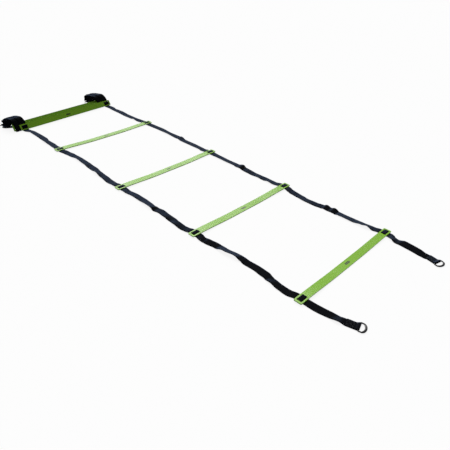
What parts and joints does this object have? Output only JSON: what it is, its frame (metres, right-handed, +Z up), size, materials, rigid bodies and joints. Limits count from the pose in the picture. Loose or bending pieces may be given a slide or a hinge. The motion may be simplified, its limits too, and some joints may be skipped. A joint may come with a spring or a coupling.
{
  "type": "agility ladder",
  "caption": "Agility ladder lying partly unrolled: flat slotted rungs woven onto two webbing straps with D-rings, the far rungs gathered and the slack webbing bunched.",
  "frame": {"origin": "centre of the underside of laid rung 2, on the floor", "axes": "+Y along the ladder to its gathered end, +Z up from the floor, -X to the left strap"},
  "size_m": [0.515, 1.7401, 0.053],
  "materials": {
    "rung_green": "satin moulded plastic",
    "webbing_black": "woven flat webbing",
    "ring_black": "moulded"
  },
  "bodies": {
    "gathered_end": {"gathered_rung_1": "rung_green", "gathered_rung_2": "rung_green", "gathered_rung_3": "rung_green", "gathered_rung_4": "rung_green", "gathered_strap_left": "webbing_black", "gathered_strap_right": "webbing_black"},
    "gathered_ring_left": {"gathered_ring_left": "ring_black"},
    "gathered_ring_right": {"gathered_ring_right": "ring_black"},
    "bay_1_far": {"bay_1_strap_left_far": "webbing_black", "bay_1_strap_right_far": "webbing_black"},
    "bay_1_near": {"bay_1_strap_left_near": "webbing_black", "bay_1_strap_right_near": "webbing_black"},
    "rung_1": {"rung_1": "rung_green", "rung_1_weave_left": "webbing_black", "rung_1_weave_right": "webbing_black"},
    "bay_2_far": {"bay_2_strap_left_far": "webbing_black", "bay_2_strap_right_far": "webbing_black"},
    "bay_2_near": {"bay_2_strap_left_near": "webbing_black", "bay_2_strap_right_near": "webbing_black"},
    "rung_2": {"rung_2": "rung_green", "rung_2_weave_left": "webbing_black", "rung_2_weave_right": "webbing_black"},
    "bay_3_far": {"bay_3_strap_left_far": "webbing_black", "bay_3_strap_right_far": "webbing_black"},
    "bay_3_near": {"bay_3_strap_left_near": "webbing_black", "bay_3_strap_right_near": "webbing_black"},
    "rung_3": {"rung_3": "rung_green", "rung_3_weave_left": "webbing_black", "rung_3_weave_right": "webbing_black"},
    "bay_4_far": {"bay_4_strap_left_far": "webbing_black", "bay_4_strap_right_far": "webbing_black"},
    "bay_4_near": {"bay_4_strap_left_near": "webbing_black", "bay_4_strap_right_near": "webbing_black"},
    "rung_4": {"rung_4": "rung_green", "rung_4_weave_left": "webbing_black", "rung_4_weave_right": "webbing_black"},
    "end_strap_left": {"end_strap_left": "webbing_black"},
    "end_strap_right": {"end_strap_right": "webbing_black"},
    "end_ring_left": {"end_ring_left": "ring_black"},
    "end_ring_right": {"end_ring_right": "ring_black"}
  },
  "joints": [
    {"name": "gathered_end_level", "type": "hinge", "parent": "bay_1_far", "child": "gathered_end", "pos_m": [0, 0.65753, 0.0032], "axis": [1, 0, 0], "range_deg": [0, 88]},
    {"name": "bay_1_fold", "type": "hinge", "parent": "bay_1_near", "child": "bay_1_far", "pos_m": [0, 0.53476, 0], "axis": [-1, 0, 0], "range_deg": [0, 176]},
    {"name": "bay_1_lift", "type": "hinge", "parent": "rung_1", "child": "bay_1_near", "pos_m": [0, 0.412, 0.0032], "axis": [1, 0, 0], "range_deg": [0, 88]},
    {"name": "rung_1_level", "type": "hinge", "parent": "bay_2_far", "child": "rung_1", "pos_m": [0, 0.382, 0.0032], "axis": [1, 0, 0], "range_deg": [0, 88]},
    {"name": "bay_2_fold", "type": "hinge", "parent": "bay_2_near", "child": "bay_2_far", "pos_m": [0, 0.1985, 0], "axis": [-1, 0, 0], "range_deg": [0, 176]},
    {"name": "bay_2_lift", "type": "hinge", "parent": "rung_2", "child": "bay_2_near", "pos_m": [0, 0.015, 0.0032], "axis": [1, 0, 0], "range_deg": [0, 88]},
    {"name": "bay_3_lift", "type": "hinge", "parent": "rung_2", "child": "bay_3_far", "pos_m": [0, -0.015, 0.0032], "axis": [-1, 0, 0], "range_deg": [0, 88]},
    {"name": "bay_3_fold", "type": "hinge", "parent": "bay_3_far", "child": "bay_3_near", "pos_m": [0, -0.1825, 0], "axis": [1, 0, 0], "range_deg": [0, 176]},
    {"name": "rung_3_level", "type": "hinge", "parent": "bay_3_near", "child": "rung_3", "pos_m": [0, -0.35, 0.0032], "axis": [-1, 0, 0], "range_deg": [0, 88]},
    {"name": "bay_4_lift", "type": "hinge", "parent": "rung_3", "child": "bay_4_far", "pos_m": [0, -0.38, 0.0032], "axis": [-1, 0, 0], "range_deg": [0, 88]},
    {"name": "bay_4_fold", "type": "hinge", "parent": "bay_4_far", "child": "bay_4_near", "pos_m": [0, -0.5555, 0], "axis": [1, 0, 0], "range_deg": [0, 176]},
    {"name": "rung_4_level", "type": "hinge", "parent": "bay_4_near", "child": "rung_4", "pos_m": [0, -0.731, 0.0032], "axis": [-1, 0, 0], "range_deg": [0, 88]},
    {"name": "end_strap_left_lift", "type": "hinge", "parent": "rung_4", "child": "end_strap_left", "pos_m": [-0.2075, -0.761, 0.0032], "axis": [1, 0, 0], "range_deg": [-105, 0]},
    {"name": "end_strap_right_lift", "type": "hinge", "parent": "rung_4", "child": "end_strap_right", "pos_m": [0.2075, -0.761, 0.0032], "axis": [1, 0, 0], "range_deg": [-105, 0]},
    {"name": "end_ring_left_swing", "type": "hinge", "parent": "end_strap_left", "child": "end_ring_left", "pos_m": [-0.186, -0.892, 0.0033], "axis": [-0.959, -0.2833, 0], "range_deg": [-135, 135]},
    {"name": "end_ring_right_swing", "type": "hinge", "parent": "end_strap_right", "child": "end_ring_right", "pos_m": [0.186, -0.917, 0.0033], "axis": [-0.9706, 0.2408, 0], "range_deg": [-135, 135]},
    {"name": "gathered_ring_left_swing", "type": "hinge", "parent": "gathered_end", "child": "gathered_ring_left", "pos_m": [-0.26164, 0.75118, 0.0121], "axis": [0.9977, 0.068, 0], "range_deg": [-35, 40]},
    {"name": "gathered_ring_right_swing", "type": "hinge", "parent": "gathered_end", "child": "gathered_ring_right", "pos_m": [0.15689, 0.77971, 0.0121], "axis": [0.9977, 0.068, 0], "range_deg": [-35, 40]}
  ]
}
